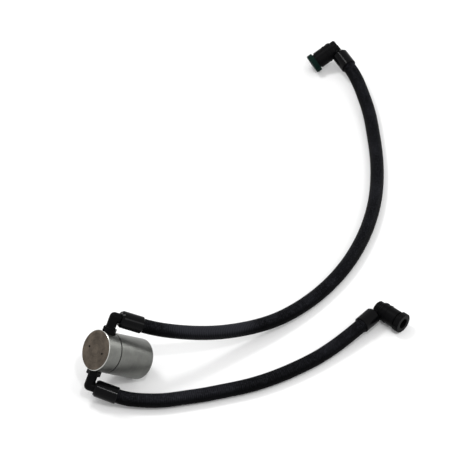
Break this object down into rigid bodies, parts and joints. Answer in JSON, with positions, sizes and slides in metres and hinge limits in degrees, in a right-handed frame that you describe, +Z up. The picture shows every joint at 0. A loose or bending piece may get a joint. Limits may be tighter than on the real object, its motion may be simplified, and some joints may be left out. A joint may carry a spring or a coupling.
{
  "type": "oil catch can",
  "caption": "Round two-piece aluminium catch can with a screw-on bowl, side elbows, and two moulded rubber hoses ending in right-angle quick connectors.",
  "frame": {"origin": "middle of the can's own box (lid, bowl, elbows and their sleeves) on the bench plane, with the can leaning as it lies on the bowl's base rim", "axes": "+Z up from the bench, +X to the right and +Y away from the camera as the object was pictured; the can's face looks towards -X, and the hoses run out towards +X and +Y"},
  "size_m": [0.4941, 0.7847, 0.1186],
  "materials": {
    "can_aluminium": "satin clear-anodised, fine turning marks",
    "seal_rubber": "matte",
    "inner_steel": "bright",
    "wire_mesh": "knitted wire",
    "fitting_plastic": "semi-matte moulded",
    "sleeve_plastic": "glossy",
    "hose_rubber": "satin",
    "plug_seal": "matte",
    "green_plastic": "satin dark green"
  },
  "bodies": {
    "can": {"lid": "can_aluminium", "drop_tube": "inner_steel", "baffle": "inner_steel", "filter_pack": "wire_mesh", "pack_plate": "inner_steel", "tube_nut": "inner_steel", "long_elbow": "fitting_plastic", "long_washer": "seal_rubber", "long_sleeve": "sleeve_plastic", "long_hose": "hose_rubber", "long_end_sleeve": "sleeve_plastic", "long_plug": "fitting_plastic", "long_seals": "plug_seal", "long_spacer": "fitting_plastic", "long_bush": "fitting_plastic", "short_elbow": "fitting_plastic", "short_washer": "seal_rubber", "short_sleeve": "sleeve_plastic", "short_hose": "hose_rubber", "short_end_sleeve": "sleeve_plastic", "short_plug": "fitting_plastic", "short_seals": "plug_seal", "short_spacer": "fitting_plastic", "short_bush": "fitting_plastic"},
    "seal": {"bowl_ring": "seal_rubber"},
    "bowl": {"bowl": "can_aluminium"},
    "long_release": {"long_release": "green_plastic"},
    "short_release": {"short_release": "fitting_plastic"}
  },
  "joints": [
    {"name": "bowl_travel", "type": "slide", "parent": "can", "child": "seal", "axis": [0.7178, 0.3501, -0.6018], "range_m": [0, 0.01]},
    {"name": "bowl_turn", "type": "hinge", "parent": "seal", "child": "bowl", "pos_m": [0.03282, 0.02689, 0.02316], "axis": [0.7178, 0.3501, -0.6018], "range_deg": [0, 1440]},
    {"name": "long_release_push", "type": "slide", "parent": "can", "child": "long_release", "axis": [0.8108, 0.4131, 0.4147], "range_m": [0, 0.0025], "stiffness_N_per_m": 900, "springref_m": -0.004},
    {"name": "short_release_push", "type": "slide", "parent": "can", "child": "short_release", "axis": [-0.749, 0.6626, 0], "range_m": [0, 0.0025], "stiffness_N_per_m": 900, "springref_m": -0.004}
  ],
  "couplings": [
    {"joint": "bowl_travel", "follows": "bowl_turn", "m_per_rad": 0.00039789}
  ]
}
